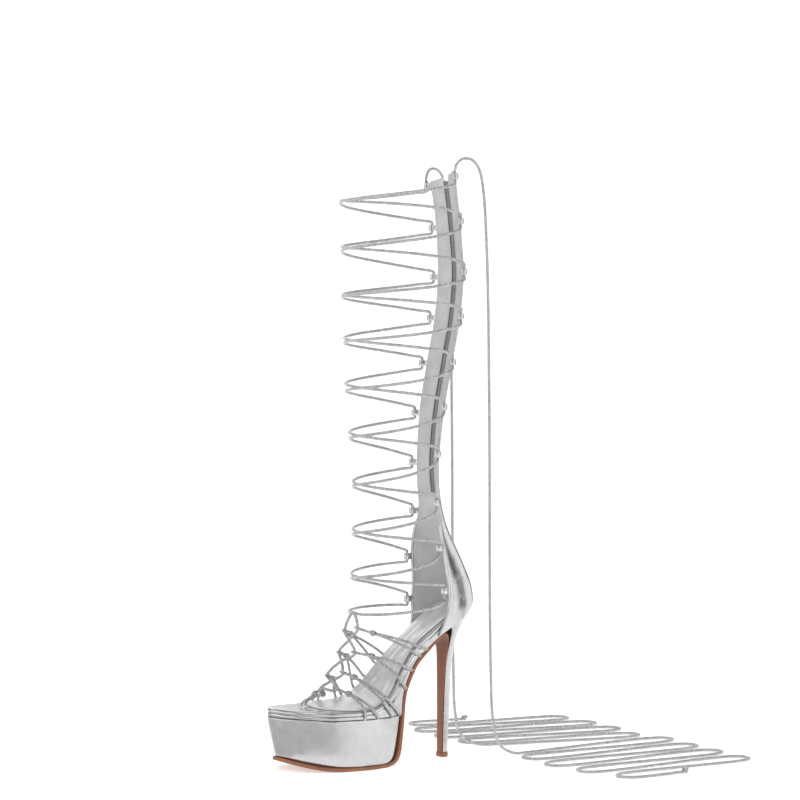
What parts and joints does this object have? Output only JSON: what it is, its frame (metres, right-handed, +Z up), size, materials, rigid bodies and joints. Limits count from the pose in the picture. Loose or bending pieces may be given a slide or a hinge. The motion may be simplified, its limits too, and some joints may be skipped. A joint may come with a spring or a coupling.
{
  "type": "gladiator sandal",
  "caption": "Knee-high lace-up platform sandal with a stiletto heel, a heel counter with a tall back strip, and metallic cord straps.",
  "frame": {"origin": "on the floor, at the centre of the tread under the forefoot", "axes": "+X points to the toe, +Y to the shoe's left, which is its outer side, +Z up"},
  "size_m": [0.4443, 0.415, 0.591],
  "materials": {
    "silver_leather": "metallic foil, glossy",
    "tan_leather": "satin",
    "sock_leather": "soft satin",
    "metallic_cord": "metallic woven",
    "zip_tape": "matt",
    "zip_metal": "polished"
  },
  "bodies": {
    "shoe": {"outsole": "tan_leather", "toplift": "tan_leather", "insole": "sock_leather", "zip": "zip_tape", "zip_slider": "zip_metal", "platform": "silver_leather", "footbed": "silver_leather", "heel": "silver_leather", "upper": "silver_leather", "tab_outer_1": "silver_leather", "tab_outer_2": "silver_leather", "tab_outer_3": "silver_leather", "tab_outer_4": "silver_leather", "tab_outer_5": "silver_leather", "tab_outer_6": "silver_leather", "tab_outer_7": "silver_leather", "tab_outer_8": "silver_leather", "tab_outer_9": "silver_leather", "tab_outer_10": "silver_leather", "tab_inner_1": "silver_leather", "tab_inner_2": "silver_leather", "tab_inner_3": "silver_leather", "tab_inner_4": "silver_leather", "tab_inner_5": "silver_leather", "tab_inner_6": "silver_leather", "tab_inner_7": "silver_leather", "tab_inner_8": "silver_leather", "tab_inner_9": "silver_leather", "tab_inner_10": "silver_leather", "strap_outer_1": "metallic_cord", "strap_outer_2": "metallic_cord", "strap_outer_3": "metallic_cord", "strap_outer_4": "metallic_cord", "strap_inner_1": "metallic_cord", "strap_inner_2": "metallic_cord", "strap_inner_3": "metallic_cord", "strap_inner_4": "metallic_cord", "toe_post": "metallic_cord", "leg_lace_1": "metallic_cord", "leg_lace_2": "metallic_cord", "leg_lace_3": "metallic_cord", "leg_lace_4": "metallic_cord", "leg_lace_5": "metallic_cord", "leg_lace_6": "metallic_cord", "leg_lace_7": "metallic_cord", "leg_lace_8": "metallic_cord", "leg_lace_9": "metallic_cord", "foot_lace_1": "metallic_cord", "foot_lace_2": "metallic_cord", "foot_lace_3": "metallic_cord", "ankle_lace": "metallic_cord", "tie_outer": "metallic_cord", "tie_inner": "metallic_cord"},
    "pull": {"zip_pull": "zip_metal"}
  },
  "joints": [
    {"name": "zip_pull_swing", "type": "hinge", "parent": "shoe", "child": "pull", "pos_m": [-0.13058, 0, 0.556], "axis": [0, 1, 0], "range_deg": [0, 150]}
  ]
}
